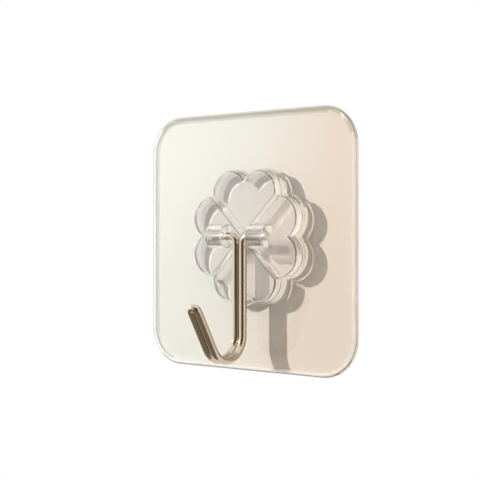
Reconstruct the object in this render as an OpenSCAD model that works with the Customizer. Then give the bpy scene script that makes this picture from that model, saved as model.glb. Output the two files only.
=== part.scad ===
// Clear adhesive wall hook: a square sheet stuck to the wall, a four-leaf clover boss
// bonded to its front, and a bent steel wire that swings in the boss's two knuckles.
// Lengths are in millimetres. +Z is up, the wall is the plane Y = 0 and the front
// looks towards -Y. The origin is the middle of the pad's back, on the wall.

/* [Sheet] */
// Width of the clear sheet
sheet_w = 60; // [50:1:80]
// Height of the clear sheet
sheet_h = 60; // [50:1:80]
// Thickness of the clear sheet
sheet_t = 1.1; // [0.8:0.1:2]
// Radius of the sheet's corners
sheet_corner_r = 9; // [4:0.5:14]
// Width of the bevel along the sheet's front edge
sheet_bevel_w = 0.9; // [0.2:0.1:1.5]
// Depth of the bevel along the sheet's front edge
sheet_bevel_t = 0.4; // [0.2:0.05:0.7]

/* [Adhesive pad] */
// Thickness of the adhesive pad
pad_t = 0.4; // [0.2:0.05:1]
// Margin from the pad's edge out to the sheet's edge
pad_margin = 0.5; // [0.2:0.1:2]
// Bevel along the pad's front edge
pad_bevel = 0.1; // [0.05:0.01:0.15]

/* [Clover boss] */
// How far the boss's middle lies to the right of the sheet's middle
boss_x = 1.5; // [-4:0.1:4]
// How far the boss's middle lies above the sheet's middle
boss_z = 1.1; // [-4:0.1:4]
// Radius of the ring that the lobes' middles lie on
lobe_ring_r = 10.8; // [9.5:0.1:11.5]
// Radius of one lobe
lobe_r = 5; // [4.6:0.1:5.6]
// Thickness of the boss from its back to its front face
boss_t = 3.2; // [2.5:0.1:5]
// Bevel round the boss's front edge
boss_bevel = 0.4; // [0.1:0.05:0.5]
// How far the boss's foot reaches past its sides
foot_w = 0.5; // [0.2:0.1:1]
// Thickness of the boss's foot
foot_t = 0.7; // [0.4:0.1:0.8]

/* [Leaf grooves] */
// Width of a groove between two leaves at the front face
groove_w = 1.2; // [0.8:0.05:1.2]
// Width of a groove at its floor
groove_floor_w = 0.6; // [0.2:0.05:0.7]
// Thickness of the boss left under a groove
groove_floor_t = 0.85; // [0.85:0.05:2]

/* [Bond film] */
// Thickness of the bond film between the boss and the sheet
bond_t = 0.1; // [0.05:0.01:0.3]
// Margin from the bond film's edge out to the edge of the boss's foot
bond_margin = 0.4; // [0.1:0.1:1]

/* [Knuckles] */
// Wall of a knuckle round its bore
knuckle_wall = 1.85; // [1.2:0.05:2.2]
// Length of one knuckle
knuckle_len = 4.8; // [3.5:0.1:6]
// Room between a knuckle's inner face and the wire's bend
knuckle_room = 1; // [0.5:0.1:1.5]
// Bevel round a knuckle's ends
knuckle_bevel = 0.3; // [0.1:0.05:0.5]
// Radial clearance between the wire and its bore
bore_clear = 0.05; // [0.02:0.01:0.1]

/* [Wire hook] */
// Diameter of the wire
wire_d = 1.8; // [1.4:0.1:2.2]
// Gap between the two legs
leg_gap = 0.15; // [0.1:0.05:0.6]
// Gap between the hanging legs and the boss's front face
swing_gap = 0.3; // [0.2:0.05:0.8]
// Radius of the bend from a leg into its pin, along the wire's middle
pin_bend_r = 1.5; // [1.2:0.1:2]
// Distance of a pin's end inside its knuckle's outer face
pin_recess = 1.4; // [0.2:0.1:1.8]
// Drop from the pivot to the lowest point of the wire's middle
hook_drop = 27.7; // [20:0.1:30]
// Radius of the hook's round bottom, along the wire's middle
hook_bend_r = 5.5; // [4:0.1:7]
// Lean of the tip away from the vertical, in degrees
tip_lean = 30.5; // [10:0.5:45]
// Length of the tip's straight stretch
tip_len = 10; // [5:0.5:12]

/* [Hidden] */
$fn = 96;

// Lobes round the boss, two to a leaf
lobe_count = 8;
// Turn from one lobe to the next
lobe_turn = 360 / lobe_count;
// How far a cut runs past the face that it opens
overrun = 1;

// Levels out from the wall
sheet_back = pad_t;
sheet_front = sheet_back + sheet_t;
boss_back = sheet_front + bond_t;
boss_front = boss_back + boss_t;

// Wire and pivot
wire_r = wire_d / 2;
leg_x = (wire_d + leg_gap) / 2;
pivot_out = boss_front + swing_gap + wire_r;
bend_y = hook_bend_r - hook_drop;
// How much thinner an arc of the wire is than a straight stretch, so that they join cleanly
arc_slack = 0.004;
// Turn by which an arc's ends lie inside the straight stretches, in degrees
arc_lap = 1;

// Knuckles
bore_r = wire_r + bore_clear;
knuckle_r = bore_r + knuckle_wall;
knuckle_in = leg_x + pin_bend_r + knuckle_room;
knuckle_out = knuckle_in + knuckle_len;
pin_end = knuckle_out - pin_recess;

// The outermost reach of the boss's sides
boss_reach = lobe_ring_r + lobe_r;

// Stands a shape drawn on the ground plane up on the wall, its top towards the front
module on_wall(out = 0) {
    rotate([90, 0, 0])
        translate([0, 0, out])
            children();
}

// Puts a shape at the boss's middle, at a level out from the wall
module at_boss(out) {
    on_wall(out)
        translate([boss_x, boss_z, 0])
            children();
}

// Draws a shape and its mirror image in X
module both_sides() {
    for (side = [0, 1])
        mirror([side, 0, 0])
            children();
}

// Half section of a slab with a bevelled upper edge, from its axis out to its run
module edge_profile(run, t, bevel_w, bevel_t) {
    polygon([[0, 0], [run, 0], [run, t - bevel_t], [run - bevel_w, t], [0, t]]);
}

// Rectangular slab with round corners and a bevelled upper edge
module round_slab(w, h, t, corner_r, bevel_w, bevel_t) {
    core = [w - 2 * corner_r, h - 2 * corner_r];
    translate([-core.x / 2, -core.y / 2, 0])
        cube([core.x, core.y, t]);
    for (side = [0:3]) {
        along = core[(side + 1) % 2];
        rotate([0, 0, 90 * side])
            translate([core[side % 2] / 2, along / 2, 0]) {
                rotate([90, 0, 0])
                    linear_extrude(along)
                        edge_profile(corner_r, t, bevel_w, bevel_t);
                rotate_extrude(angle = 90)
                    edge_profile(corner_r, t, bevel_w, bevel_t);
            }
    }
}

// Repeats a shape at the middle of every lobe
module each_lobe() {
    for (i = [0 : lobe_count - 1])
        rotate([0, 0, (i + 1 / 2) * lobe_turn])
            translate([lobe_ring_r, 0, 0])
                children();
}

// Fills the boss's middle, out to the seams where two lobes meet
module lobe_core(t) {
    cylinder(r = lobe_ring_r * cos(lobe_turn / 2), h = t);
}

// Flat slab with the boss's outline, its lobes of the given radius
module lobed_slab(r, t) {
    each_lobe() cylinder(r = r, h = t);
    lobe_core(t);
}

// Body of the boss: its lobes narrow along the bevel, and one cut makes its front flat
module clover_body() {
    tall = boss_t + overrun;
    slope = boss_bevel + overrun;
    cut_reach = boss_reach + overrun;
    difference() {
        union() {
            each_lobe()
                rotate_extrude()
                    edge_profile(lobe_r, tall, slope, slope);
            lobe_core(tall);
        }
        translate([-cut_reach, -cut_reach, boss_t])
            cube([2 * cut_reach, 2 * cut_reach, 2 * overrun]);
    }
}

// Cutter for the two crossing grooves that part the leaves
module leaf_grooves() {
    depth = boss_t - groove_floor_t;
    half = groove_w / 2;
    floor_half = groove_floor_w / 2;
    top = depth + overrun;
    for (turn = [45, 135])
        rotate([0, 0, turn])
            translate([-boss_reach, 0, groove_floor_t])
                rotate([90, 0, 90])
                    linear_extrude(2 * boss_reach)
                        polygon([
                            [-floor_half, 0], [floor_half, 0], [half, depth],
                            [half, top], [-half, top], [-half, depth]
                        ]);
}

// Barrel of one knuckle, along X from its inner face to its outer face
module knuckle() {
    waist = knuckle_r - knuckle_bevel;
    translate([knuckle_in, 0, pivot_out - boss_back])
        rotate([0, 90, 0])
            rotate_extrude()
                polygon([
                    [0, 0], [waist, 0], [knuckle_r, knuckle_bevel],
                    [knuckle_r, knuckle_len - knuckle_bevel], [waist, knuckle_len], [0, knuckle_len]
                ]);
}

// Cutter for the bore through both knuckles
module knuckle_bore() {
    translate([0, 0, pivot_out - boss_back])
        rotate([0, 90, 0])
            cylinder(r = bore_r, h = 2 * (knuckle_out + overrun), center = true);
}

// Arc of wire in the ground plane, from the X axis towards Y, lapped into its neighbours
module wire_arc(r, angle) {
    rotate([0, 0, -arc_lap])
        rotate_extrude(angle = angle + 2 * arc_lap)
            translate([r, 0])
                circle(r = wire_r - arc_slack);
}

// Straight wire, up from the origin
module wire_rod(length) {
    cylinder(r = wire_r, h = length);
}

// One leg of the hook from its pin down to the end of the round bottom, pivot at the origin
module wire_leg() {
    bend_x = leg_x + pin_bend_r;
    translate([bend_x, 0, 0])
        rotate([0, 90, 0])
            wire_rod(pin_end - bend_x);
    translate([bend_x, -pin_bend_r, 0])
        rotate([0, 0, 90])
            wire_arc(pin_bend_r, 90);
    translate([leg_x, -pin_bend_r, 0])
        rotate([90, 0, 0])
            wire_rod(-bend_y - pin_bend_r);
    translate([leg_x, bend_y, hook_bend_r])
        rotate([180, 90, 0])
            wire_arc(hook_bend_r, 180 - tip_lean);
}

// Tip of the hook: two straight stretches joined by a hairpin turn
module wire_tip() {
    tip_y = bend_y - hook_bend_r * sin(tip_lean);
    tip_out = hook_bend_r * (1 + cos(tip_lean));
    translate([0, tip_y, tip_out])
        rotate([tip_lean - 90, 0, 0]) {
            both_sides()
                translate([leg_x, 0, 0])
                    wire_rod(tip_len);
            translate([0, 0, tip_len])
                rotate([90, 0, 0])
                    wire_arc(leg_x, 180);
        }
}

// Thin layer of gel adhesive that holds the sheet to the wall
module adhesive_pad() {
    color([0.93, 0.88, 0.79])
        on_wall()
            round_slab(
                sheet_w - 2 * pad_margin, sheet_h - 2 * pad_margin, pad_t,
                sheet_corner_r - pad_margin, pad_bevel, pad_bevel
            );
}

// Clear square sheet with round corners
module base_sheet() {
    color([0.95, 0.93, 0.88, 0.5])
        on_wall(sheet_back)
            round_slab(sheet_w, sheet_h, sheet_t, sheet_corner_r, sheet_bevel_w, sheet_bevel_t);
}

// Thin film of clear cement between the boss and the sheet
module bond_film() {
    color([0.96, 0.94, 0.85, 0.6])
        at_boss(sheet_front)
            lobed_slab(lobe_r + foot_w - bond_margin, bond_t);
}

// Clear four-leaf clover moulding with its foot, its leaf grooves and its two bored knuckles
module clover_boss() {
    color([0.9, 0.91, 0.9, 0.5])
        at_boss(boss_back)
            difference() {
                union() {
                    difference() {
                        clover_body();
                        leaf_grooves();
                    }
                    lobed_slab(lobe_r + foot_w, foot_t);
                    both_sides() knuckle();
                }
                knuckle_bore();
            }
}

// Steel wire bent into a double-legged hook, hanging at rest
module wire_hook() {
    color([0.62, 0.58, 0.53])
        at_boss(pivot_out) {
            both_sides() wire_leg();
            wire_tip();
        }
}

adhesive_pad();
base_sheet();
bond_film();
clover_boss();
wire_hook();
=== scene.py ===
"""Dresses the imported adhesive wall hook: gel pad, clear sheet, clover boss and steel wire.

Sizes are in millimetres and become metres where a mesh is made. A point is drawn as
(right, up, out): right and up lie on the wall, and out is the distance from it.
"""

import logging
import math
from dataclasses import dataclass, field
from enum import Enum, IntEnum

import bmesh
import bpy
from bpy.types import Collection, Material, Mesh, MeshPolygon, Node, NodeSocket, NodeTree, Object
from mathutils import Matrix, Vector


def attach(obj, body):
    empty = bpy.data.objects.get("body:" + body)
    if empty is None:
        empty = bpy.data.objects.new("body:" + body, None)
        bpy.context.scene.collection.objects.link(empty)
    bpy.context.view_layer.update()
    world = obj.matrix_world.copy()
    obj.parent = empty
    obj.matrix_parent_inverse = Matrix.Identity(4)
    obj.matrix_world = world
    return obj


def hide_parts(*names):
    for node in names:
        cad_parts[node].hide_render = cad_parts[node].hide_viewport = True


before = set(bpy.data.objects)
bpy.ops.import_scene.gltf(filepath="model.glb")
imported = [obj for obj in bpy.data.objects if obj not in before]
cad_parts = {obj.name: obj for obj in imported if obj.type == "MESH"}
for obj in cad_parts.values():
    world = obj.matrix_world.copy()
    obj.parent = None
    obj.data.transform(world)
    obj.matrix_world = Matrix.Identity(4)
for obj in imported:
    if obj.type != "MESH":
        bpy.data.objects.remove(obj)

MM = 0.001
FLAT = 0.999
GRAIN_DETAIL = 3.0
GRAIN_ENDS = (0.3, 0.7)
LOG = logging.getLogger("wall_hook")

Point = tuple[float, float]
Span = tuple[float, float]
Colour = tuple[float, float, float]
Ring = list[Vector]


class Body(Enum):
    """The two bodies that the pieces ride on."""

    MOUNT = "wall_mount"
    HOOK = "hook"


class Slot(Enum):
    """The record's material slots."""

    GEL = "gel_adhesive"
    SHEET = "clear_sheet"
    CEMENT = "clear_cement"
    BOSS = "clear_boss"
    STEEL = "steel_wire"


class Linking(Enum):
    """What a lamp does with the pieces of a group."""

    TAKE = "INCLUDE"
    LEAVE = "EXCLUDE"


class SheetFace(IntEnum):
    """The sheet's finishes in list order; the last three are painted highlight and shade."""

    PLASTIC = 0
    WETTED = 1
    BRIGHT = 2
    DARK = 3
    GRAY = 4


class BossFace(IntEnum):
    """The boss's finishes in list order; several are painted highlights and painted shade."""

    PLASTIC = 0
    RIM = 1
    KNUCKLE = 2
    WETTED = 3
    LIGHT = 4
    DARK = 5
    BORE = 6
    STREAK = 7
    GLEAM = 8


def at(right: float, up: float, out: float) -> Vector:
    """Turns a drawn point in millimetres into a point of the frame in metres."""
    return Vector((right, -out, up)) * MM


def quarter_round(radius: float, steps: int) -> list[Point]:
    """Lists (inset, drop) of a rounded edge's points, from its upright side to its flat top."""
    turns = [math.pi / 2 * i / steps for i in range(steps + 1)]
    return [(radius * (1 - math.cos(t)), radius * (1 - math.sin(t))) for t in turns]


def mirrored(points: list[Point]) -> list[Point]:
    """Mirrors points from right to left."""
    return [(-x, y) for x, y in points]


class Skin:
    """A skin built ring by ring, each ring anticlockwise as seen from the front."""

    def __init__(self) -> None:
        """Starts an empty skin."""
        self.bm = bmesh.new()

    def ring(self, points: Ring) -> list[bmesh.types.BMVert]:
        """Adds the points of one ring and returns its vertices."""
        return [self.bm.verts.new(p) for p in points]

    def walls(self, rings: list[list], closed: bool = True) -> None:
        """Adds the faces between each ring and the next.

        Args:
            rings: Vertices of the rings, from the one nearest the wall to the outermost.
            closed: True where the rings close on themselves.
        """
        for low, high in zip(rings, rings[1:]):
            count = len(low)
            for i in range(count if closed else count - 1):
                j = (i + 1) % count
                self.bm.faces.new((low[i], low[j], high[j], high[i]))

    def cap(self, ring: list, front: bool) -> None:
        """Closes a ring with one flat face that looks to the front or to the wall."""
        self.bm.faces.new(ring if front else ring[::-1])

    def lofted(self, rings: list[Ring]) -> None:
        """Joins rings into a solid.

        Args:
            rings: The rings, from the one nearest the wall to the outermost.
        """
        made = [self.ring(r) for r in rings]
        self.walls(made)
        self.cap(made[0], front=False)
        self.cap(made[-1], front=True)

    def patched(self, window: Ring) -> None:
        """Cuts a patch out of the front cap, and gives it and the back cap the wetted finish.

        Args:
            window: Outline of the patch.
        """
        self.bm.faces.ensure_lookup_table()
        back, front = self.bm.faces[-2:]
        rim = list(front.edges)
        self.bm.faces.remove(front)
        patch = self.bm.faces.new(self.ring(window))
        edges = [*rim, *patch.edges]
        bmesh.ops.triangle_fill(self.bm, edges=edges, use_beauty=True, normal=patch.normal)
        patch.material_index = back.material_index = SheetFace.WETTED

    def mesh(self, name: str) -> Mesh:
        """Turns the skin into a mesh.

        Args:
            name: Name of the mesh.

        Returns:
            The mesh.
        """
        mesh = bpy.data.meshes.new(name)
        self.bm.to_mesh(mesh)
        self.bm.free()
        return mesh


def soften(mesh: Mesh, degrees: float) -> None:
    """Shades a mesh smooth, except across edges that turn by more than the given angle."""
    mesh.shade_smooth()
    mesh.set_sharp_from_angle(angle=math.radians(degrees))


def new_object(name: str, data: bpy.types.ID) -> Object:
    """Links an object into the scene.

    Args:
        name: Name of the object.
        data: Its mesh, lamp or camera.

    Returns:
        The object.
    """
    made = bpy.data.objects.new(name, data)
    bpy.context.scene.collection.objects.link(made)
    return made


def hand_over(piece: Object, body: Body, node: str, slot: Slot) -> None:
    """Lets a piece ride on its body in the place of its CAD node, and reports it.

    Args:
        piece: The finished piece.
        body: The body that it moves with.
        node: The CAD node that it stands for.
        slot: The record's material slot; not used.
    """
    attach(piece, body.value)
    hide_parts(node)
    LOG.info("%s: %d faces, rides on %s", piece.name, len(piece.data.polygons), body.value)


class Nodes:
    """A node tree, with short ways to add and join nodes."""

    prefix = "ShaderNode"

    def __init__(self, tree: NodeTree) -> None:
        """Takes a tree as it is."""
        self.tree = tree

    def join(self, source: Node | NodeSocket, target: NodeSocket) -> None:
        """Links a socket, or a node's first output, to an input."""
        self.tree.links.new(source.outputs[0] if isinstance(source, Node) else source, target)

    def node(self, kind: str, inputs: dict | None = None, **settings: object) -> Node:
        """Adds a node.

        Args:
            kind: The node's type, without the prefix of the tree's own nodes.
            inputs: Nodes, sockets or plain values by input name or number.
            **settings: The node's own settings.

        Returns:
            The node.
        """
        made = self.tree.nodes.new(kind if kind.startswith("Shader") else self.prefix + kind)
        for key, setting in settings.items():
            setattr(made, key, setting)
        for key, source in (inputs or {}).items():
            if isinstance(source, (Node, NodeSocket)):
                self.join(source, made.inputs[key])
            else:
                made.inputs[key].default_value = source
        return made

    def maths(self, operation: str, *values: object) -> NodeSocket:
        """Adds a Math node and returns its result."""
        return self.node("ShaderNodeMath", dict(enumerate(values)), operation=operation).outputs[0]


class ShapeTree(Nodes):
    """A Geometry Nodes tree with named inputs, made into a plain mesh when it is applied."""

    prefix = "GeometryNode"

    def __init__(self, name: str) -> None:
        """Starts a tree whose input and output are a geometry.

        Args:
            name: Name of the tree.
        """
        super().__init__(bpy.data.node_groups.new(name, "GeometryNodeTree"))
        for way in ("INPUT", "OUTPUT"):
            self.tree.interface.new_socket("Geometry", in_out=way, socket_type="NodeSocketGeometry")
        self.start = self.tree.nodes.new("NodeGroupInput")
        self.end = self.tree.nodes.new("NodeGroupOutput")
        self.values: dict[str, object] = {}

    def value(self, name: str, kind: str, amount: object) -> NodeSocket:
        """Adds a named input.

        Args:
            name: Name of the input.
            kind: Socket kind, such as Float or Material.
            amount: What the input is set to.

        Returns:
            The group input's socket.
        """
        item = self.tree.interface.new_socket(name, in_out="INPUT", socket_type=f"NodeSocket{kind}")
        self.values[item.identifier] = amount
        return self.start.outputs[name]

    def finish(self, geometry: Node, finish: Material) -> None:
        """Ends the tree in realised geometry with its material.

        Args:
            geometry: The last node of the shape.
            finish: The material.
        """
        material = self.value("Finish", "Material", finish)
        real = self.node("RealizeInstances", {"Geometry": geometry})
        dressed = self.node("SetMaterial", {"Geometry": real, "Material": material})
        self.join(dressed, self.end.inputs[0])

    def applied(self, name: str, start: Mesh) -> Mesh:
        """Runs the tree on a mesh.

        Args:
            name: Name of the mesh that comes out.
            start: Mesh that the tree starts from.

        Returns:
            A plain mesh, with no modifier left.
        """
        holder = new_object(name + "_draft", start)
        modifier = holder.modifiers.new("shape", "NODES")
        modifier.node_group = self.tree
        for identifier, amount in self.values.items():
            modifier[identifier] = amount
        ready = holder.evaluated_get(bpy.context.evaluated_depsgraph_get())
        mesh = bpy.data.meshes.new_from_object(ready)
        mesh.name = name
        bpy.data.objects.remove(holder)
        bpy.data.meshes.remove(start)
        return mesh


class Shade(Nodes):
    """A material's node tree round one Principled shader."""

    def __init__(self, name: str) -> None:
        """Starts a material.

        Args:
            name: Name of the material.
        """
        self.material = bpy.data.materials.new(name)
        self.material.use_nodes = True
        super().__init__(self.material.node_tree)
        self.tree.nodes.clear()
        self.output = self.node("OutputMaterial")
        self.skin = self.node("BsdfPrincipled")
        self.show(self.skin)

    def show(self, shader: Node) -> Material:
        """Makes a shader the one that the surface shows, and returns the material."""
        self.join(shader, self.output.inputs["Surface"])
        return self.material

    def feed(self, name: str, source: Node | NodeSocket) -> None:
        """Links a source to one of the Principled shader's inputs."""
        self.join(source, self.skin.inputs[name])

    def place(self) -> NodeSocket:
        """Adds the Object coordinates and returns them."""
        return self.node("TexCoord").outputs["Object"]

    def set(self, **values: object) -> None:
        """Sets the Principled shader's plain values, named with _ for a space."""
        for name, amount in values.items():
            self.skin.inputs[name.replace("_", " ")].default_value = amount

    def grain(self, group: NodeTree, place: NodeSocket, scale: float, span: Span) -> Node:
        """Places the shared grain group and returns its node, with its Value and Height."""
        inputs = {"Place": place, "Scale": scale, "Low": span[0], "High": span[1]}
        return self.node("Group", inputs, node_tree=group)


def grain_group() -> NodeTree:
    """Builds the fine grain that every finish uses for its roughness and bump.

    Returns:
        A shader group with Place, Scale, Low and High in, and Value and Height out.
    """
    group = bpy.data.node_groups.new("surface_grain", "ShaderNodeTree")
    face, nodes = group.interface, Nodes(group)
    face.new_socket("Place", in_out="INPUT", socket_type="NodeSocketVector")
    for way, names in (("INPUT", ("Scale", "Low", "High")), ("OUTPUT", ("Value", "Height"))):
        for name in names:
            face.new_socket(name, in_out=way, socket_type="NodeSocketFloat")
    start = group.nodes.new("NodeGroupInput").outputs
    end = group.nodes.new("NodeGroupOutput").inputs
    spots = {"Vector": start["Place"], "Scale": start["Scale"]}
    noise = nodes.node("TexNoise", {**spots, "Detail": GRAIN_DETAIL})
    ends = {1: GRAIN_ENDS[0], 2: GRAIN_ENDS[1], 3: start["Low"], 4: start["High"]}
    nodes.join(nodes.node("MapRange", {0: noise, **ends}), end["Value"])
    nodes.join(noise, end["Height"])
    return group


@dataclass(frozen=True)
class ClearPlastic:
    """Polished clear moulding plastic, with what its sides leave of a lamp's light."""

    name: str
    tint: Colour = (0.985, 0.982, 0.972)
    ior: float = 1.49
    polish: Span = (0.0, 0.03)
    grain_scale: float = 300.0
    clear: float = 1.0
    glow: float = 0.0
    flat: float = 0.97
    slope: float = 0.6
    going_in: float = 0.86
    going_out: float = 0.86
    rise: float = 2.5
    rise_blend: float = 0.1
    even: Span = (0.94, 0.99)
    sloping: Span = (0.25, 0.45)

    def lamplight(self, shade: Shade) -> NodeSocket:
        """Works out how much of a lamp's light passes.

        A flat front or back passes nearly all of it, and a sloping edge less. A side turns it
        away, apart from a ray that leaves high up, which in plastic would have come in through
        the front.

        Args:
            shade: The material's tree.

        Returns:
            The share of light that passes.
        """

        def ramp(value: NodeSocket, ends: Span) -> NodeSocket:
            """Gives a share that grows from 0 to 1 between two ends of a value."""
            return shade.node("MapRange", {0: value, 1: ends[0], 2: ends[1]}).outputs[0]

        def mixed(share: NodeSocket, none: object, whole: object) -> NodeSocket:
            """Goes from one value to another by a share."""
            return shade.node("Mix", {0: share, 2: none, 3: whole}).outputs[0]

        spot = shade.node("NewGeometry")
        facing = shade.node("SeparateXYZ", {0: spot.outputs["Normal"]}).outputs[1]
        level = shade.node("SeparateXYZ", {0: shade.place()}).outputs[1]
        upright = shade.maths("ABSOLUTE", facing)
        low, high = self.rise - self.rise_blend, self.rise + self.rise_blend
        leaving = mixed(ramp(level, (-low * MM, -high * MM)), self.going_out, self.flat)
        side = mixed(spot.outputs["Backfacing"], self.going_in, leaving)
        edge = mixed(ramp(upright, self.sloping), side, self.slope)
        return mixed(ramp(upright, self.even), edge, self.flat)

    def made(self, grain: NodeTree) -> Material:
        """Builds the material.

        Args:
            grain: The shared grain group.

        Returns:
            The material.
        """
        shade = Shade(self.name)
        shade.set(Base_Color=(*self.tint, 1.0), IOR=self.ior, Transmission_Weight=self.clear)
        shade.feed("Roughness", shade.grain(grain, shade.place(), self.grain_scale, self.polish))
        seen = shade.skin
        if self.glow > 0.0:
            through = shade.node("BsdfTranslucent", {0: (*self.tint, 1.0)})
            seen = shade.node("MixShader", {0: self.glow, 1: seen, 2: through})
        passing = shade.node("BsdfTransparent", {0: self.lamplight(shade)})
        ray = shade.node("LightPath").outputs["Is Shadow Ray"]
        return shade.show(shade.node("MixShader", {0: ray, 1: seen, 2: passing}))


@dataclass(frozen=True)
class Wetted:
    """A face that cement wets, which light crosses without a break."""

    name: str

    def made(self) -> Material:
        """Builds the material."""
        shade = Shade(self.name)
        return shade.show(shade.node("BsdfTransparent"))


@dataclass(frozen=True)
class GelAdhesive:
    """Milky, warm gel adhesive with painted light: paler and brighter towards the upper left."""

    name: str
    # pale and warm end a blend that paints brighter light over the upper left
    pale: Colour = (0.89, 0.9, 0.85)
    warm: Colour = (0.9, 0.785, 0.66)
    lean: float = -15.0
    painted_light_fade: Span = (-8.0, 18.0)
    mottle: Span = (-0.06, 0.06)
    mottle_scale: float = 1500.0
    roughness: Span = (0.5, 0.65)
    grain_scale: float = 600.0

    def made(self, grain: NodeTree) -> Material:
        """Builds the material.

        Args:
            grain: The shared grain group.

        Returns:
            The material.
        """
        shade = Shade(self.name)
        place = shade.place()
        # Painted light: the blend along a tilted line is paler and brighter at the upper left
        turn = (0.0, math.radians(self.lean), 0.0)
        leaning = shade.node("Mapping", {"Vector": place, "Rotation": turn})
        right = shade.node("SeparateXYZ", {0: leaning})
        painted_light = shade.node("MapRange", {0: right, 1: self.painted_light_fade[0] * MM, 2: self.painted_light_fade[1] * MM})
        mottle = shade.grain(grain, place, self.mottle_scale, self.mottle)
        ends = {6: (*self.pale, 1.0), 7: (*self.warm, 1.0)}
        tone = shade.node("Mix", {0: shade.maths("ADD", painted_light, mottle), **ends}, data_type="RGBA")
        shade.feed("Base Color", tone.outputs[2])
        shade.feed("Roughness", shade.grain(grain, place, self.grain_scale, self.roughness))
        return shade.material


@dataclass(frozen=True)
class ClearCement:
    """Thin clear cement that takes the look of what it joins and stops lamp light."""

    name: str
    tint: Colour = (0.95, 0.93, 0.86)
    cover: float = 0.03
    roughness: Span = (0.15, 0.35)
    grain_scale: float = 500.0

    def made(self, grain: NodeTree) -> Material:
        """Builds the material.

        Args:
            grain: The shared grain group.

        Returns:
            The material.
        """
        shade = Shade(self.name)
        shade.set(Base_Color=(*self.tint, 1.0), Alpha=self.cover)
        shade.feed("Roughness", shade.grain(grain, shade.place(), self.grain_scale, self.roughness))
        ray = shade.node("LightPath").outputs["Is Shadow Ray"]
        shade.feed("Alpha", shade.node("MapRange", {0: ray, 3: self.cover, 4: 1.0}))
        return shade.material


@dataclass(frozen=True)
class BrightSteel:
    """Drawn stainless wire with fine marks along its run, tinted by a painted warm reflection."""

    name: str
    # The tint is steel's own grey with a painted reflection of warm surroundings in it
    tint: Colour = (0.67, 0.58, 0.47)
    polish: Span = (0.1, 0.2)
    run: str = "wire_run"
    stretch: tuple[float, float, float] = (6.0, 6.0, 40.0)
    bump: float = 0.03
    bump_depth: float = 0.02

    def made(self, grain: NodeTree) -> Material:
        """Builds the material.

        Args:
            grain: The shared grain group.

        Returns:
            The material.
        """
        shade = Shade(self.name)
        shade.set(Base_Color=(*self.tint, 1.0), Metallic=1.0)
        run = shade.node("Attribute", attribute_name=self.run).outputs["Vector"]
        long = shade.node("Mapping", {"Vector": run, "Scale": self.stretch}).outputs[0]
        marks = shade.grain(grain, long, 1.0, self.polish)
        shade.feed("Roughness", marks)
        depth = {"Strength": self.bump, "Distance": self.bump_depth * MM}
        shade.feed("Normal", shade.node("Bump", {**depth, "Height": marks.outputs["Height"]}))
        return shade.material


@dataclass(frozen=True)
class Slab:
    """A square layer with round corners and rounded edges, flat on the wall."""

    width: float
    height: float
    back: float
    front: float
    corner: float
    front_edge: Point
    back_edge: float
    corner_steps: int = 20
    edge_steps: int = 4
    rounding: float = 0.15
    split: float = 0.4
    # Width of the front strip inside the bevel; the sheet paints gray shade on it at top and left
    band: float = 0.8
    flats: float = 0.3
    sharp: float = 40.0

    def outline(self, inset: float, out: float) -> Ring:
        """Draws the outline, moved inwards, at a distance from the wall.

        Args:
            inset: How far the outline moves inwards.
            out: Distance from the wall.

        Returns:
            The points, anticlockwise as seen from the front.
        """
        points = []
        radius = self.corner - inset
        for i, (sx, sy) in enumerate(((1, -1), (1, 1), (-1, 1), (-1, -1))):
            cx, cy = sx * (self.width / 2 - self.corner), sy * (self.height / 2 - self.corner)
            for k in range(self.corner_steps + 1):
                turn = math.pi / 2 * (i - 1 + k / self.corner_steps)
                points.append(at(cx + radius * math.cos(turn), cy + radius * math.sin(turn), out))
        return points

    def inset(self, x: float, y: float) -> tuple[float, float]:
        """Finds how far a spot lies inside the outline, and which way the nearest side faces.

        Args:
            x: Distance to the right of the middle.
            y: Distance above the middle.

        Returns:
            The distance, and the way in degrees from the right.
        """
        past = abs(x) - self.width / 2 + self.corner, abs(y) - self.height / 2 + self.corner
        way = [max(p, 0.0) for p in past]
        reach = math.hypot(*way) + min(max(past), 0.0)
        if max(past) <= 0.0:
            way = [float(p == max(past)) for p in past]
        turn = math.degrees(math.atan2(math.copysign(way[1], y), math.copysign(way[0], x)))
        return self.corner - reach, turn

    def zones(self) -> tuple[float, float, float]:
        """Lists how far from the outline the bevel's outer part, the bevel and the band end."""
        wide = self.front_edge[0]
        return wide * self.split, wide + self.rounding, wide + self.band

    def bent(self, corner: Point, before: Point, after: Point) -> list[Point]:
        """Rounds one corner of the edge's profile.

        Args:
            corner: The sharp corner.
            before: Way from the corner back along the profile.
            after: Way from the corner on along the profile.

        Returns:
            The round's points, with one more at each end that keeps the flats flat.
        """
        reach = min(self.rounding, self.front_edge[1] / 3)
        middle, back, on = Vector(corner), Vector(before).normalized(), Vector(after).normalized()
        ends = middle + back * reach, middle + on * reach
        share = [i / self.edge_steps for i in range(self.edge_steps + 1)]
        arc = [ends[0] * (1 - t) ** 2 + middle * 2 * t * (1 - t) + ends[1] * t**2 for t in share]
        flats = ends[0] + back * reach * self.flats, ends[1] + on * reach * self.flats
        return [(p.x, p.y) for p in (flats[0], *arc, flats[1])]

    def mesh(self, name: str, window: Ring | None = None) -> Mesh:
        """Builds the layer's mesh.

        Args:
            name: Name of the mesh.
            window: Outline of a patch of the front face that gets the wetted finish, as the
                back face then does too.

        Returns:
            The closed mesh.
        """
        wide, deep = self.front_edge
        low = [(i, self.back + d) for i, d in quarter_round(self.back_edge, self.edge_steps)][::-1]
        high = self.bent((0.0, self.front - deep), (0.0, -1.0), (wide, deep))
        high.append((wide * self.split, self.front - deep * (1 - self.split)))
        high += self.bent((wide, self.front), (-wide, -deep), (1.0, 0.0))
        profile = [(2 * self.back_edge, self.back), *low, *high, (wide + self.band, self.front)]
        skin = Skin()
        skin.lofted([self.outline(inset, out) for inset, out in profile])
        if window:
            skin.patched(window)
        mesh = skin.mesh(name)
        soften(mesh, self.sharp)
        return mesh


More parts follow.
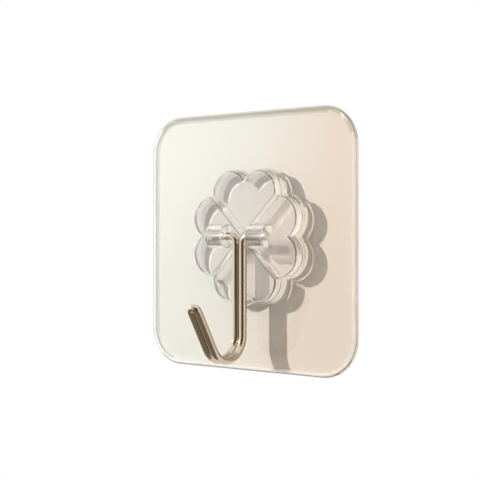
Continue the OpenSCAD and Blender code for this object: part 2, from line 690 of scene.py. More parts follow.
@dataclass(frozen=True)
class Clover:
    """The clover's outline: eight lobes on a ring, two to a leaf."""

    ring: float = 10.8
    lobes: int = 8
    leaves: int = 4
    arc_steps: int = 28
    end_steps: int = 2
    outline_groove: float = 0.2

    @property
    def along(self) -> float:
        """Distance from the middle to the chord between two neighbouring lobes."""
        return self.ring * math.cos(math.pi / self.lobes)

    @property
    def across(self) -> float:
        """Half the chord between two neighbouring lobes."""
        return self.ring * math.sin(math.pi / self.lobes)

    def middles(self) -> list[Vector]:
        """Lists the lobes' middles."""
        turns = [math.tau * (k + 0.5) / self.lobes for k in range(self.lobes)]
        return [Vector((math.cos(t), math.sin(t))) * self.ring for t in turns]

    def reach(self, radius: float, groove: float) -> float:
        """Distance along a diagonal at which a groove's side meets a lobe of the given radius."""
        return self.along + math.sqrt(radius**2 - (self.across - groove) ** 2)

    def side(self, distance: float, groove: float) -> Point:
        """Point on a groove's side, at a distance along the diagonal, in the upper leaf's axes."""
        half = math.sqrt(0.5)
        return (distance - groove) * half, (distance + groove) * half

    def arc(self, radius: float, start: Point, end: Point, steps: int) -> list[Point]:
        """Draws the upper leaf's right lobe between two of its points.

        Args:
            radius: Radius of the lobe.
            start: First point, which is left out.
            end: Last point, which is kept.
            steps: Number of steps.

        Returns:
            The points after the first.
        """
        cx, cy = self.across, self.along
        a, b = (math.atan2(y - cy, x - cx) for x, y in (start, end))
        turns = [a + (b - a) * i / steps for i in range(1, steps + 1)]
        return [(cx + radius * math.cos(t), cy + radius * math.sin(t)) for t in turns]

    def foot(self, radius: float, groove: float) -> Point:
        """Point at which a groove's side meets the outline."""
        return self.side(self.reach(radius, groove), groove)

    def half_edge(self, radius: float, groove: float) -> list[Point]:
        """Draws the right half of the upper leaf's round edge, from the groove to the notch."""
        start, notch = self.foot(radius, groove), (0.0, self.reach(radius, 0.0))
        return [start, *self.arc(radius, start, notch, self.arc_steps)]

    def half_end(self, radius: float, groove: float) -> list[Point]:
        """Draws the stretch of edge between the diagonal and the groove's side."""
        corner, stop = self.foot(radius, 0.0), self.foot(radius, groove)
        return [corner, *self.arc(radius, corner, stop, self.end_steps)][:-1]

    def quarter_edge(self, radius: float, groove: float) -> list[Point]:
        """Draws the upper leaf's share of the whole outline, from diagonal to diagonal."""
        right = self.half_end(radius, groove) + self.half_edge(radius, groove)
        return right + mirrored(right[-2::-1])

    def outline(self, radius: float, out: float, middle: Point) -> Ring:
        """Draws the whole outline at a distance from the wall.

        Args:
            radius: Radius of the lobes.
            out: Distance from the wall.
            middle: Middle of the clover on the wall.

        Returns:
            The points, anticlockwise as seen from the front.
        """
        points = []
        for leaf in range(self.leaves):
            turn = leaf * math.tau / self.leaves
            c, s = math.cos(turn), math.sin(turn)
            for x, y in self.quarter_edge(radius, self.outline_groove)[:-1]:
                points.append(at(middle[0] + c * x - s * y, middle[1] + s * x + c * y, out))
        return points


PLASTIC, _, BRIGHT, DARK, GRAY = SheetFace


@dataclass
class WallMount:
    """What stays on the wall: gel pad, clear sheet, bond film and clover boss."""

    middle: Point = (1.5, 1.1)
    clover: Clover = field(default_factory=Clover)
    sheet: Slab = Slab(60.0, 60.0, 0.4, 1.5, 9.0, (0.9, 0.4), 0.12)
    pad: Slab = Slab(59.0, 59.0, 0.0, 0.39, 8.5, (0.1, 0.1), 0.05)
    # From and to in degrees round the sheet, then the finishes of the bevel's outer part, of
    # the bevel's inner part and of the band inside it. Apart from PLASTIC, these finishes are
    # painted highlight and painted shade
    sheet_painted_edges: tuple[tuple[float, float, SheetFace, SheetFace, SheetFace], ...] = (
        (-30.0, 9.0, PLASTIC, BRIGHT, PLASTIC),
        (9.0, 18.0, GRAY, BRIGHT, PLASTIC),
        (18.0, 42.0, GRAY, GRAY, PLASTIC),
        (42.0, 52.0, GRAY, BRIGHT, PLASTIC),
        (52.0, 75.0, GRAY, GRAY, PLASTIC),
        (75.0, 135.0, GRAY, GRAY, GRAY),
        (135.0, 255.0, DARK, BRIGHT, GRAY),
        (255.0, 300.0, DARK, BRIGHT, PLASTIC),
        (300.0, 330.0, GRAY, BRIGHT, PLASTIC),
    )
    # How far an edge face looks back towards the wall before it gets painted dark shade
    sheet_back_way: float = 0.15
    core: Span = (0.391, 0.397)
    film: Span = (1.51, 1.59)
    film_radius: float = 5.1
    layer_rim: float = 0.1
    boss_back: float = 1.6
    thickness: float = 3.2
    lobe: float = 5.0
    front_edge: float = 0.4
    front_steps: int = 7
    foot: float = 0.5
    foot_top: float = 0.7
    foot_margin: float = 0.3
    foot_edges: tuple[tuple[float, int], ...] = ((0.08, 3), (0.15, 4), (0.12, 3))
    groove: Span = (0.3, 0.6)
    groove_floor: float = 0.85
    groove_edge: float = 0.22
    groove_steps: int = 6
    # Levels of the bands on right-facing walls that carry a painted highlight
    painted_highlight_bands: tuple[Span, ...] = ((1.15, 1.5), (2.0, 2.4))
    pivot: float = 4.4
    knuckle: Span = (3.475, 8.275)
    knuckle_radius: Span = (0.95, 2.8)
    knuckle_edge: float = 0.3
    knuckle_sides: int = 64
    knuckle_steps: int = 6
    brace: float = 0.05
    weld: float = 0.002
    sharp: float = 32.0
    # What a face's place and way have to be for its finish, painted highlight and shade included
    touch: float = 0.001
    foot_touch: float = 0.01
    lee: Point = (0.93, -0.37)
    barrel_skin: float = 0.05
    end_way: float = 0.15
    # Ways up of knuckle faces with painted highlight, then of those with painted shade
    painted_highlight_ways: tuple[Span, ...] = ((0.6, 0.85), (-0.97, -0.9))
    painted_shade_ways: tuple[Span, ...] = ((0.97, 1.01), (-0.8, -0.55))
    # Front-bevel faces get painted highlight near the front and painted dark shade further out
    edge_way: Span = (0.2, 0.97)
    upper_right: float = 0.3
    light_from: Span = (0.75, 0.9)
    outward: float = 0.85
    band_way: float = 0.25

    def foot_rows(self) -> list[tuple[float, float]]:
        """Lists the rows up the foot to the grooves' floor.

        Returns:
            Pairs of (lobe radius, distance from the boss's back).
        """
        wide, (under, edge, blend) = self.lobe + self.foot, self.foot_edges
        rows = [(wide - self.foot_margin, 0.0)]
        rows += [(wide - i, d) for i, d in quarter_round(*under)][::-1]
        rows += [(wide - i, self.foot_top - d) for i, d in quarter_round(*edge)]
        rows += [(self.lobe + d, self.foot_top + i) for i, d in quarter_round(*blend)]
        return rows + [(self.lobe, self.groove_floor)]

    def leaf_rows(self) -> list[tuple[float, float, float]]:
        """Lists the rows up a leaf, from the grooves' floor to its front.

        Returns:
            Triples of (lobe radius, half groove, distance from the boss's back).
        """
        low, high = self.groove
        straight = self.thickness - self.groove_edge
        rows = [(self.lobe, low, self.groove_floor)]
        # Extra rows at the levels of the painted highlight bands
        walls = [(0.0, self.thickness - out) for band in self.painted_highlight_bands for out in band]
        for inset, drop in walls + quarter_round(self.front_edge, self.front_steps):
            out = self.thickness - drop
            share = (min(out, straight) - self.groove_floor) / (straight - self.groove_floor)
            past = max(out - straight, 0.0) / self.groove_edge
            half = low + (high - self.groove_edge - low) * share
            half += self.groove_edge * (1 - math.sqrt(max(1 - past**2, 0.0)))
            rows.append((self.lobe - inset, half, out))
        radius, half, out = rows[-1]
        return rows + [(radius - self.brace, half + self.brace, out)]

    def groove_side(self, radius: float, half: float) -> list[Point]:
        """Draws a groove's right side, from the leaf's tip out to the last step before its edge."""
        far, count = self.clover.reach(radius, half), self.groove_steps
        return [self.clover.side(half + (far - half) * k / count, half) for k in range(count)]

    def leaf_outline(self, radius: float, half: float) -> list[Point]:
        """Draws a whole leaf: tip, right side, round edge and left side."""
        right, edge = self.groove_side(radius, half), self.clover.half_edge(radius, half)
        return [*right, *edge, *mirrored(edge[-2::-1]), *mirrored(right[:0:-1])]

    def leaf_quarter(self) -> Mesh:
        """Builds a quarter of the boss: its upper leaf, and the foot and half grooves round it.

        Returns:
            A mesh about the boss's middle, open along the two diagonals.
        """
        shape, skin = self.clover, Skin()
        low, floor = self.groove[0], self.groove_floor

        def placed(points: list[Point], out: float) -> list:
            """Adds points at one distance from the boss's back."""
            return skin.ring([at(x, y, out) for x, y in points])

        rows = [placed(shape.quarter_edge(r, low), out) for r, out in self.foot_rows()]
        skin.walls(rows, closed=False)
        skin.cap([*placed([(0.0, 0.0)], 0.0), *rows[0]], front=False)
        top, ends = rows[-1], shape.end_steps

        side = self.groove_side(self.lobe, low)
        right, left = placed(side, floor), placed(mirrored(side[1:]), floor)
        made = [[*right, *top[ends:-ends], *left[::-1]]]
        made += [placed(self.leaf_outline(r, half), out) for r, half, out in self.leaf_rows()[1:]]
        skin.walls(made)
        skin.cap(made[-1], front=True)

        corner, count = shape.reach(self.lobe, 0.0), self.groove_steps
        diagonal = [shape.side(corner * k / count, 0.0) for k in range(1, count)]
        middle = placed([(0.0, 0.0)], floor)
        east = [*middle, *placed(diagonal, floor)]
        west = [*middle, *placed(mirrored(diagonal), floor)]
        inner_west = [right[0], *left]
        for k in range(count - 1):
            skin.bm.faces.new((east[k], east[k + 1], right[k + 1], right[k]))
            skin.bm.faces.new((west[k + 1], west[k], inner_west[k], inner_west[k + 1]))
        skin.bm.faces.new((east[-1], *top[: ends + 1], right[-1]))
        skin.bm.faces.new((*top[-ends - 1 :], west[-1], inner_west[-1]))
        return skin.mesh("leaf_quarter")

    def boss_mesh(self, finish: Material) -> Mesh:
        """Repeats the leaf round the boss and joins the two bored knuckles to it.

        Args:
            finish: Material of the boss.

        Returns:
            The boss's closed mesh in its place.
        """
        tree = ShapeTree("clover_boss")
        maths = tree.maths
        count = tree.value("Leaf Count", "Int", self.clover.leaves)
        weld = tree.value("Weld Distance", "Float", self.weld * MM)
        names = ("Bore Radius", "Knuckle Radius", "Knuckle Start", "Knuckle End", "Knuckle Edge")
        sizes = (*self.knuckle_radius, *self.knuckle, self.knuckle_edge)
        bore, round_, near, far, edge = (
            tree.value(name, "Float", size * MM) for name, size in zip(names, sizes)
        )
        pivot = tree.value("Pivot", "Vector", at(0, 0, self.pivot))
        middle = tree.value("Middle", "Vector", at(*self.middle, self.boss_back))

        spots = tree.node("MeshLine", {"Count": count, "Offset": (0.0, 0.0, 0.0)})
        step = maths("DIVIDE", math.tau, count)
        turn = maths("MULTIPLY", tree.node("InputIndex"), step)
        spin = tree.node("ShaderNodeCombineXYZ", {"Y": turn})
        leaf = {"Points": spots, "Instance": tree.start.outputs[0], "Rotation": spin}
        leaves = tree.node("InstanceOnPoints", leaf)
        whole = tree.node("RealizeInstances", {"Geometry": leaves})
        welded = tree.node("MergeByDistance", {"Geometry": whole, "Distance": weld})

        wall, long = maths("SUBTRACT", round_, bore), maths("SUBTRACT", far, near)
        radius = maths("MULTIPLY", maths("ADD", round_, bore), 0.5)
        circle = {"Resolution": self.knuckle_sides, "Radius": radius}
        loop = tree.node("CurvePrimitiveCircle", circle)
        section = tree.node("CurvePrimitiveQuadrilateral", {"Width": wall, "Height": long})
        fillet = {"Curve": section, "Radius": edge, "Count": self.knuckle_steps}
        rounded = tree.node("FilletCurve", {**fillet, "Limit Radius": True}, mode="POLY")
        barrel = tree.node("CurveToMesh", {"Curve": loop, "Profile Curve": rounded})
        ends = {"Count": 2, "Start Location": (-1.0, 0.0, 0.0), "Offset": (2.0, 0.0, 0.0)}
        pair = tree.node("MeshLine", ends)
        halfway = maths("MULTIPLY", maths("ADD", near, far), 0.5)
        spread = tree.node("ShaderNodeCombineXYZ", {"X": halfway, "Y": 1.0, "Z": 1.0})
        apart = tree.node("Transform", {"Geometry": pair, "Scale": spread})
        lifted = tree.node("Transform", {"Geometry": apart, "Translation": pivot})
        lying = {"Points": lifted, "Instance": barrel, "Rotation": (0.0, math.pi / 2, 0.0)}
        barrels = tree.node("InstanceOnPoints", lying)
        knuckles = tree.node("RealizeInstances", {"Geometry": barrels})
        joined = tree.node("MeshBoolean", operation="UNION", solver="EXACT")
        for part in (welded, knuckles):
            tree.join(part, joined.inputs["Mesh 2"])
        tree.finish(tree.node("Transform", {"Geometry": joined, "Translation": middle}), finish)
        mesh = tree.applied("clover_boss_clear", self.leaf_quarter())
        soften(mesh, self.sharp)
        return mesh

    def layer_mesh(self, name: str, radius: float, low: float, high: float) -> Mesh:
        """Builds a thin layer with the clover's outline.

        Args:
            name: Name of the mesh.
            radius: Radius of the outline's lobes.
            low: Distance of the layer's back from the wall.
            high: Distance of its front from the wall.

        Returns:
            The closed mesh.
        """
        inner = radius - self.layer_rim
        rows = [(inner, low), (radius, low), (radius, high), (inner, high)]
        skin = Skin()
        skin.lofted([self.clover.outline(r, out, self.middle) for r, out in rows])
        mesh = skin.mesh(name)
        soften(mesh, self.sheet.sharp)
        return mesh

    def dress_sheet(self, mesh: Mesh, grain: NodeTree, wetted: Material) -> None:
        """Paints highlight and shade on the sheet's edges, zone by zone and side by side.

        Args:
            mesh: The sheet's mesh, its patch and back already in the wetted finish.
            grain: The shared grain group.
            wetted: Finish of the patch and the back.
        """
        clear = ClearPlastic(
            "clear_sheet_plastic", slope=0.5, going_in=0.9, going_out=0.9, rise=0.95
        )
        # Painted light: a half-white finish for highlights, a dark one and a gray one for shade
        bright = ClearPlastic("clear_sheet_bright_edge", (1.0, 0.99, 0.97), clear=0.5)
        dark = ClearPlastic("clear_sheet_dark_edge", (0.22, 0.2, 0.18))
        gray = ClearPlastic("clear_sheet_gray_edge", (0.71, 0.68, 0.65))
        edges = [finish.made(grain) for finish in (bright, dark, gray)]
        for finish in (clear.made(grain), wetted, *edges):
            mesh.materials.append(finish)
        ends = self.sheet.zones()
        for face in mesh.polygons:
            x, _, z = face.center / MM
            inset, turn = self.sheet.inset(x, z)
            if face.normal.y > FLAT or inset > ends[-1]:
                continue
            zone = next(i for i, end in enumerate(ends) if inset <= end)
            rows = (row for row in self.sheet_painted_edges if (turn - row[0]) % 360.0 < row[1] - row[0])
            # Bevel faces that look back towards the wall get painted dark shade
            backward = face.normal.y >= self.sheet_back_way
            face.material_index = SheetFace.DARK if backward else next(rows)[2 + zone]

    def boss_finishes(self, grain: NodeTree, wetted: Material) -> list[Material]:
        """Makes the boss's finishes, painted highlights and painted shade among them.

        Args:
            grain: The shared grain group.
            wetted: Finish of the back.

        Returns:
            The materials in the order of BossFace.
        """
        # White faces are painted highlights, and the dark tint is painted shade
        white = {"tint": (1.0, 0.99, 0.97), "polish": (0.2, 0.3)}
        wall = {"flat": 0.15, "slope": 0.15, "going_in": 0.06, "going_out": 0.2, "rise": 6.0}
        barrel = {"flat": 0.8, "slope": 0.75, "going_in": 0.7, "going_out": 0.8, "rise": 9.0}
        gleam = {**white, **wall, "glow": 0.8}
        bore = {"tint": (0.9, 0.89, 0.87), "polish": (0.1, 0.2), "clear": 0.6, "flat": 0.8}
        plastic = {"tint": (0.76, 0.72, 0.74), "slope": 0.8, "going_in": 0.6, "going_out": 0.6}
        made = {
            BossFace.PLASTIC: ClearPlastic("clear_boss_plastic", **plastic),
            BossFace.RIM: ClearPlastic("clear_boss_rim", **wall),
            BossFace.KNUCKLE: ClearPlastic("clear_boss_knuckle", **barrel),
            BossFace.LIGHT: ClearPlastic("clear_boss_light_edge", **white, clear=0.35, slope=3.2),
            BossFace.DARK: ClearPlastic("clear_boss_dark_edge", (0.18, 0.155, 0.125), slope=0.5),
            BossFace.BORE: ClearPlastic("clear_boss_bore", **bore, slope=0.8),
            BossFace.STREAK: ClearPlastic("clear_boss_streak", **white, clear=0.4, slope=0.8),
            BossFace.GLEAM: ClearPlastic("clear_boss_wall_gleam", **gleam, clear=0.4),
        }
        return [made[face].made(grain) if face in made else wetted for face in BossFace]

    def knuckle_face(self, radius: float, way: Vector) -> BossFace:
        """Picks a knuckle face's finish, painted highlight and shade on its barrel and end.

        Args:
            radius: Distance of the face's middle from the pivot.
            way: The way that it faces.

        Returns:
            Its finish.
        """
        bore, barrel = self.knuckle_radius
        # A knuckle's end ring gets a painted highlight
        if abs(way.x) > self.end_way and radius > barrel - self.knuckle_edge:
            return BossFace.STREAK
        if radius <= barrel - self.barrel_skin:
            return BossFace.BORE if radius < bore + self.barrel_skin else BossFace.KNUCKLE
        # Streaks round the barrel get painted highlight and painted shade
        if any(low < way.z < high for low, high in self.painted_highlight_ways):
            return BossFace.STREAK
        dark = any(low < way.z < high for low, high in self.painted_shade_ways)
        return BossFace.DARK if dark else BossFace.KNUCKLE

    def boss_face(self, face: MeshPolygon, lobes: list[Vector]) -> BossFace:
        """Picks the finish of one face of the boss.

        Args:
            face: The face.
            lobes: Middles of the lobes.

        Returns:
            Its finish.
        """
        x, y, z = face.center / MM
        spot, level, way = Vector((x, z)) - Vector(self.middle), -y - self.boss_back, face.normal
        if level < self.touch:
            return BossFace.WETTED
        if level < self.foot_top + self.foot_touch:
            return BossFace.RIM if spot.dot(Vector(self.lee)) > 0.0 else BossFace.PLASTIC
        if level > self.thickness + self.touch:
            return self.knuckle_face(math.hypot(level - self.pivot, spot.y), way)
        # Front bevels: painted highlight near the front, painted dark shade further out, more so
        # facing up-right
        if self.edge_way[0] < -way.y < self.edge_way[1]:
            light = -way.y > self.light_from[way.x + way.z > self.upper_right]
            return BossFace.LIGHT if light else BossFace.DARK
        if abs(way.y) >= FLAT:
            return BossFace.PLASTIC
        arm = min((spot - lobe for lobe in lobes), key=lambda v: v.length)
        outward = arm.normalized().dot(Vector((way.x, way.z)).normalized())
        if arm.length <= self.lobe - self.front_edge or outward <= self.outward:
            return BossFace.PLASTIC
        # Bands of the walls that face right get a painted highlight
        banded = way.x > self.band_way and any(a < level < b for a, b in self.painted_highlight_bands)
        return BossFace.GLEAM if banded else BossFace.RIM

    def build(self, grain: NodeTree) -> tuple[Object, Object]:
        """Makes the pieces, dresses them and hands them over.

        Args:
            grain: The shared grain group.

        Returns:
            The part of the gel that lies under the boss, and the film between.
        """
        wetted = Wetted("wetted_face").made()
        pad = self.pad.mesh("adhesive_pad_gel")
        core = self.layer_mesh("adhesive_pad_core", self.lobe + self.foot, *self.core)
        window = self.clover.outline(self.film_radius, self.sheet.front, self.middle)
        sheet = self.sheet.mesh("base_sheet_clear", window)
        film = self.layer_mesh("bond_film_clear", self.film_radius, *self.film)
        gel = GelAdhesive("milky_gel").made(grain)
        cement = ClearCement("clear_cement_film").made(grain)
        for mesh, finish in ((pad, gel), (core, gel), (film, cement)):
            mesh.materials.append(finish)
        self.dress_sheet(sheet, grain, wetted)
        finishes = self.boss_finishes(grain, wetted)
        boss = self.boss_mesh(finishes[0])
        for finish in finishes[1:]:
            boss.materials.append(finish)
        lobes = self.clover.middles()
        for face in boss.polygons:
            face.material_index = self.boss_face(face, lobes)
        pieces = (
            (pad, "adhesive_pad", Slot.GEL),
            (core, "adhesive_pad", Slot.GEL),
            (sheet, "base_sheet", Slot.SHEET),
            (film, "bond_film", Slot.CEMENT),
            (boss, "clover_boss", Slot.BOSS),
        )
        made = {}
        for mesh, node, slot in pieces:
            made[mesh.name] = new_object(mesh.name, mesh)
            hand_over(made[mesh.name], Body.MOUNT, node, slot)
        return made[core.name], made[film.name]


@dataclass
class WireHook:
    """The swinging hook: one wire bent double, its two ends the hinge pins."""

    pivot: tuple[float, float, float] = (1.5, 1.1, 6.0)
    wire: float = 0.9
    leg: float = 0.975
    pin_end: float = 6.875
    pin_bend: float = 1.5
    drop: float = 27.7
    bend: float = 5.5
    lean: float = 30.5
    tip: float = 10.0
    bend_steps: int = 28
    sides: int = 40
    sharp: float = 50.0

    def corners(self) -> list[tuple[Vector, float]]:
        """Lists the corners of the wire's path from pin to pin.

        Returns:
            Each corner, with its bend's radius.
        """
        turn = math.radians(self.lean)
        way = (math.cos(turn), math.sin(turn))
        low = self.bend - self.drop
        tip = (low - self.bend * way[1], self.bend * (1 + way[0]))
        corner = tip[0] - tip[1] / way[1] * way[0]
        far = self.tip + self.leg
        end = (tip[0] + far * way[0], tip[1] + far * way[1])
        half = [
            ((self.pin_end, 0.0, 0.0), 0.0),
            ((self.leg, 0.0, 0.0), self.pin_bend),
            ((self.leg, corner, 0.0), self.bend),
            ((self.leg, *end), self.leg),
        ]
        both = half + [((-x, y, z), r) for (x, y, z), r in half[::-1]]
        px, py, pz = self.pivot
        return [(at(px + x, py + y, pz + z), r * MM) for (x, y, z), r in both]

    def mesh(self, finish: Material, run: str) -> Mesh:
        """Sweeps the wire along its path.

        Args:
            finish: Material of the wire.
            run: Name of the attribute that keeps each point's place along and round the wire.

        Returns:
            The wire's closed mesh.
        """
        corners = self.corners()
        path = bpy.data.meshes.new("wire_path")
        path.from_pydata([p for p, _ in corners], [(i, i + 1) for i in range(len(corners) - 1)], [])
        bends = path.attributes.new("bend", "FLOAT", "POINT")
        bends.data.foreach_set("value", [r for _, r in corners])

        tree = ShapeTree("wire_hook")
        radius = tree.value("Wire Radius", "Float", self.wire * MM)
        steps = tree.value("Bend Steps", "Int", self.bend_steps)
        sides = tree.value("Wire Sides", "Int", self.sides)
        line = tree.node("MeshToCurve", {"Mesh": tree.start.outputs[0]})
        bend = tree.node("InputNamedAttribute", {"Name": "bend"}, data_type="FLOAT")
        fillet = {"Curve": line, "Radius": bend, "Count": steps, "Limit Radius": True}
        bent = tree.node("FilletCurve", fillet, mode="POLY")
        circle = tree.node("CurvePrimitiveCircle", {"Resolution": sides, "Radius": radius})
        along = tree.node("CaptureAttribute", {"Geometry": bent}, domain="POINT")
        around = tree.node("CaptureAttribute", {"Geometry": circle}, domain="POINT")
        spot = tree.node("SplineParameter")
        for kept, name, source in ((along, "Run", "Length"), (around, "Turn", "Factor")):
            kept.capture_items.new("FLOAT", name)
            tree.join(spot.outputs[source], kept.inputs[name])
        profile = {"Curve": along, "Profile Curve": around, "Fill Caps": True}
        swept = tree.node("CurveToMesh", profile)
        angle = tree.maths("MULTIPLY", around.outputs["Turn"], math.tau)
        east, north = tree.maths("COSINE", angle), tree.maths("SINE", angle)
        place = {"X": east, "Y": north, "Z": along.outputs["Run"]}
        stored = {"Geometry": swept, "Name": run, "Value": tree.node("ShaderNodeCombineXYZ", place)}
        kinds = {"data_type": "FLOAT_VECTOR", "domain": "POINT"}
        tree.finish(tree.node("StoreNamedAttribute", stored, **kinds), finish)
        mesh = tree.applied("wire_hook_steel", path)
        soften(mesh, self.sharp)
        return mesh

    def build(self, grain: NodeTree) -> Object:
        """Makes the wire, dresses it and hands it over.

        Args:
            grain: The shared grain group.

        Returns:
            The wire.
        """
        steel = BrightSteel("bright_steel")
        mesh = self.mesh(steel.made(grain), steel.run)
        wire = new_object(mesh.name, mesh)
        hand_over(wire, Body.HOOK, "wire_hook", Slot.STEEL)
        return wire


@dataclass
class Studio:
    """Camera, lamps, white surroundings and pale floor."""

    azimuth: float = 38.47
    distance: float = 255.17
    eye: float = 1.65
    lens: float = 82.35
    sensor: float = 36.0
    near: float = 10.0
    shift: Point = (-0.0223, -0.0127)
    middle: Point = (1.5, 1.1)
    key: float = 2.6
    key_colour: Colour = (1.0, 0.985, 0.95)
    key_radius: float = 2.5
    key_way: Point = (1.19, -0.454)
    key_far: float = 110.0
    bent_way: Point = (0.64, -0.54)
    bent_far: float = 600.0
    veiled: float = 0.35
    soft: float = 1.88
    soft_colour: Colour = (1.0, 0.95, 0.9)
    soft_angle: float = 170.0
    back: float = 1.0
    floor: float = -220.0
    floor_radius: float = 600.0
    floor_sides: int = 96
    floor_tone: Colour = (0.9, 0.9, 0.9)
    floor_roughness: float = 0.9
    room: float = 450.0
    # From and to in degrees from the camera, bottom and top in degrees, and brightness
    cards: tuple[tuple[float, float, float, float, float], ...] = (
        (-58.0, -40.0, -40.0, 40.0, 0.45),
        (-40.0, 32.0, -40.0, 40.0, 0.1),
        (34.0, 42.0, -40.0, 40.0, 3.0),
        (42.0, 60.0, -40.0, 40.0, 0.35),
        (60.0, 110.0, -40.0, 40.0, 0.2),
        (-100.0, -60.0, 18.0, 34.0, 0.35),
        (-150.0, -122.0, -40.0, 40.0, 2.5),
    )
    card_tone: Colour = (1.0, 0.9, 0.76)
    card_gap: float = 4.0
    below: Colour = (0.22, 0.18, 0.14)
    below_rise: float = 5.0
    behind: Colour = (0.92, 0.88, 0.82)
    behind_half: Point = (300.0, 200.0)
    bounces: int = 24
    clear_bounces: int = 32

    def camera(self) -> None:
        """Puts the camera at the photograph's place."""
        data = bpy.data.cameras.new("camera")
        data.sensor_width, data.lens = self.sensor, self.lens
        data.shift_x, data.shift_y = self.shift
        data.clip_start = self.near * MM
        turn = math.radians(self.azimuth)
        made = new_object("camera", data)
        made.location = at(self.distance * math.sin(turn), self.eye, self.distance * math.cos(turn))
        made.rotation_euler = (math.pi / 2, 0.0, turn)
        bpy.context.scene.camera = made

    @staticmethod
    def linked(name: str, pieces: tuple[Object, ...], state: Linking) -> Collection:
        """Gathers pieces for a lamp's light linking.

        Args:
            name: Name of the group.
            pieces: The pieces.
            state: What the lamp does with them.

        Returns:
            The group.
        """
        group = bpy.data.collections.new(name)
        for piece in pieces:
            group.objects.link(piece)
        for item in group.collection_objects:
            item.light_linking.link_state = state.value
        return group

    def soft_lamp(self, passing: tuple[Object, ...]) -> None:
        """Hangs the wide, soft lamp in front of the wall.

        Args:
            passing: Pieces that its light passes.
        """
        data = bpy.data.lights.new("soft", "SUN")
        data.energy, data.angle = self.soft, math.radians(self.soft_angle)
        data.color = self.soft_colour
        data.cycles.use_multiple_importance_sampling = False
        made = new_object("soft", data)
        made.rotation_euler = (math.pi / 2, 0.0, 0.0)
        made.visible_glossy = False
        made.light_linking.blocker_collection = self.linked("soft_passes", passing, Linking.LEAVE)

    def key_lamp(self, name: str, way: Point, away: float, share: float) -> Object:
        """Hangs a key lamp at the upper left.

        Args:
            name: Name of the lamp.
            way: How far its light goes to the right and up on its way to the wall.
            away: Its distance from the wall.
            share: Its share of the key's strength.

        Returns:
            The lamp.
        """
        data = bpy.data.lights.new(name, "POINT")
        data.color, data.shadow_soft_size = self.key_colour, self.key_radius * MM
        data.cycles.use_multiple_importance_sampling = False
        slant = Vector((*way, 1.0)).length / Vector((*self.key_way, 1.0)).length
        data.energy = 4 * math.pi * self.key * share * slant
        data.use_nodes = True
        nodes = Nodes(data.node_tree)
        even = nodes.node("LightFalloff", {"Strength": 1.0})
        glow = next(n for n in data.node_tree.nodes if n.type == "EMISSION")
        nodes.join(even.outputs["Constant"], glow.inputs["Strength"])
        made = new_object(name, data)
        made.location = at(*(m - w * away for m, w in zip(self.middle, way)), away)
        return made

    def keys(self, core: Object, film: Object, wire: Object) -> None:
        """Hangs the key, and the lamps that stand for its light bent by the boss's plastic.

        Args:
            core: The gel under the boss, which only bent light reaches.
            film: The film over the core, which stops the straight light.
            wire: The wire, whose shadow on the core is weak.
        """
        links = self.key_lamp("key", self.key_way, self.key_far, 1.0).light_linking
        links.receiver_collection = self.linked("key_leaves", (core,), Linking.LEAVE)
        lamps = (("bent", 1 - self.veiled, (film,)), ("veiled", self.veiled, (film, wire)))
        for name, share, passing in lamps:
            lamp = self.key_lamp("key_" + name, self.bent_way, self.bent_far, share)
            links = lamp.light_linking
            links.receiver_collection = self.linked(name + "_lights", (core,), Linking.TAKE)
            links.blocker_collection = self.linked(name + "_passes", passing, Linking.LEAVE)

    def surroundings(self) -> None:
        """Makes the world white to see, and lets it light only what faces away from the front."""
        world = bpy.data.worlds.new("surroundings")
        bpy.context.scene.world = world
        world.use_nodes = True
        world.cycles.sampling_method = "NONE"
        nodes = Nodes(world.node_tree)
        nodes.tree.nodes.clear()
        ray = nodes.node("LightPath").outputs
        seen = ray["Is Camera Ray"]
        for kind in ("Is Glossy Ray", "Is Transmission Ray"):
            seen = nodes.maths("MAXIMUM", seen, ray[kind])
        way = nodes.node("SeparateXYZ", {0: nodes.node("TexCoord").outputs["Generated"]})
        behind = nodes.maths("MULTIPLY", way.outputs[1], self.back)
        lit = nodes.maths("MULTIPLY", ray["Is Diffuse Ray"], behind)
        inputs = {"Color": (1.0, 1.0, 1.0, 1.0), "Strength": nodes.maths("MAXIMUM", seen, lit)}
        nodes.node("OutputWorld", {"Surface": nodes.node("Background", inputs)})

    @staticmethod
    def card(name: str, panels: list[tuple[list[Vector], Colour]]) -> None:
        """Sets up a card of plain panels that only mirrors and clear pieces show.

        Args:
            name: Name of the card.
            panels: Each panel's corners and tone.
        """
        mesh = bpy.data.meshes.new(name)
        points = [p for corners, _ in panels for p in corners]
        mesh.from_pydata(points, [], [tuple(range(4 * i, 4 * i + 4)) for i in range(len(panels))])
        tones = mesh.attributes.new("tone", "FLOAT_COLOR", "FACE")
        for spot, (_, tone) in zip(tones.data, panels):
            spot.color = (*tone, 1.0)
        shade = Shade(name)
        tone = shade.node("Attribute", attribute_name="tone").outputs["Color"]
        shade.show(shade.node("Emission", {0: tone}))
        shade.material.cycles.emission_sampling = "NONE"
        mesh.materials.append(shade.material)
        made = new_object(name, mesh)
        made.visible_camera = made.visible_diffuse = made.visible_shadow = False

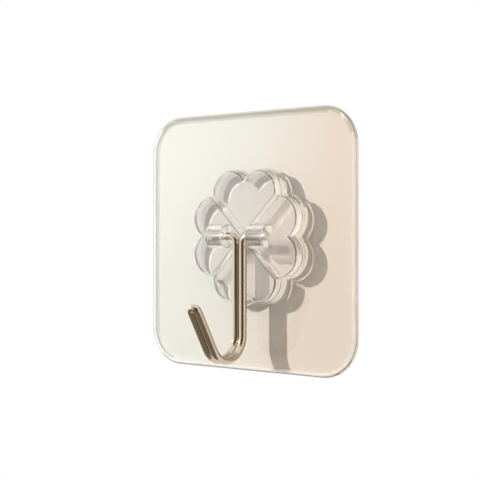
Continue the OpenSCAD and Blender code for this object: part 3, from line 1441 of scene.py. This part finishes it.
    def cards_round(self) -> None:
        """Sets cards round the camera's side and below, and a plain one behind the hook."""
        panels, far, gap = [], self.room, self.card_gap
        for start, stop, bottom, top, tone in self.cards:
            sides = [math.radians(self.azimuth + turn) for turn in (start, stop)]
            low, high = (
                [at(far * math.sin(t), up, far * math.cos(t)) for t in sides]
                for up in (far * math.tan(math.radians(e)) for e in (bottom, top))
            )
            tones = tuple(tone * c for c in self.card_tone)
            panels.append(([low[0], low[1], high[1], high[0]], tones))
        low = self.floor + self.below_rise
        corners = [at(x, low, y) for x, y in ((-far, -gap), (far, -gap), (far, far), (-far, far))]
        panels.append((corners, self.below))
        self.card("room_cards", panels)
        x, z = self.behind_half
        corners = [at(*spot, -gap) for spot in ((-x, -z), (x, -z), (x, z), (-x, z))]
        self.card("wall_card", [(corners, self.behind)])

    def ground(self) -> None:
        """Lays the pale floor, well below the hook."""
        bm = bmesh.new()
        size = {"segments": self.floor_sides, "radius": self.floor_radius * MM}
        bmesh.ops.create_circle(bm, cap_ends=True, **size)
        mesh = bpy.data.meshes.new("floor")
        bm.to_mesh(mesh)
        bm.free()
        floor = new_object("floor", mesh)
        floor.location.z = self.floor * MM
        shade = Shade("pale_floor")
        shade.set(Base_Color=(*self.floor_tone, 1.0), Roughness=self.floor_roughness)
        mesh.materials.append(shade.material)

    def build(self, core: Object, film: Object, wire: Object) -> None:
        """Sets the whole studio up.

        Args:
            core: The gel under the boss.
            film: The film under the boss.
            wire: The wire hook.
        """
        bpy.context.scene.view_settings.view_transform = "Standard"
        cycles = bpy.context.scene.cycles
        cycles.max_bounces = cycles.transmission_bounces = self.bounces
        cycles.transparent_max_bounces = self.clear_bounces
        cycles.use_light_tree = cycles.caustics_reflective = cycles.caustics_refractive = False
        self.camera()
        self.keys(core, film, wire)
        self.soft_lamp((film, wire))
        self.surroundings()
        self.cards_round()
        self.ground()


def main() -> None:
    """Builds the pieces in order."""
    logging.basicConfig(level=logging.INFO, format="%(message)s")
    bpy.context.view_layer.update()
    grain = grain_group()
    core, film = WallMount().build(grain)
    wire = WireHook().build(grain)
    Studio().build(core, film, wire)


if __name__ == "__main__":
    main()
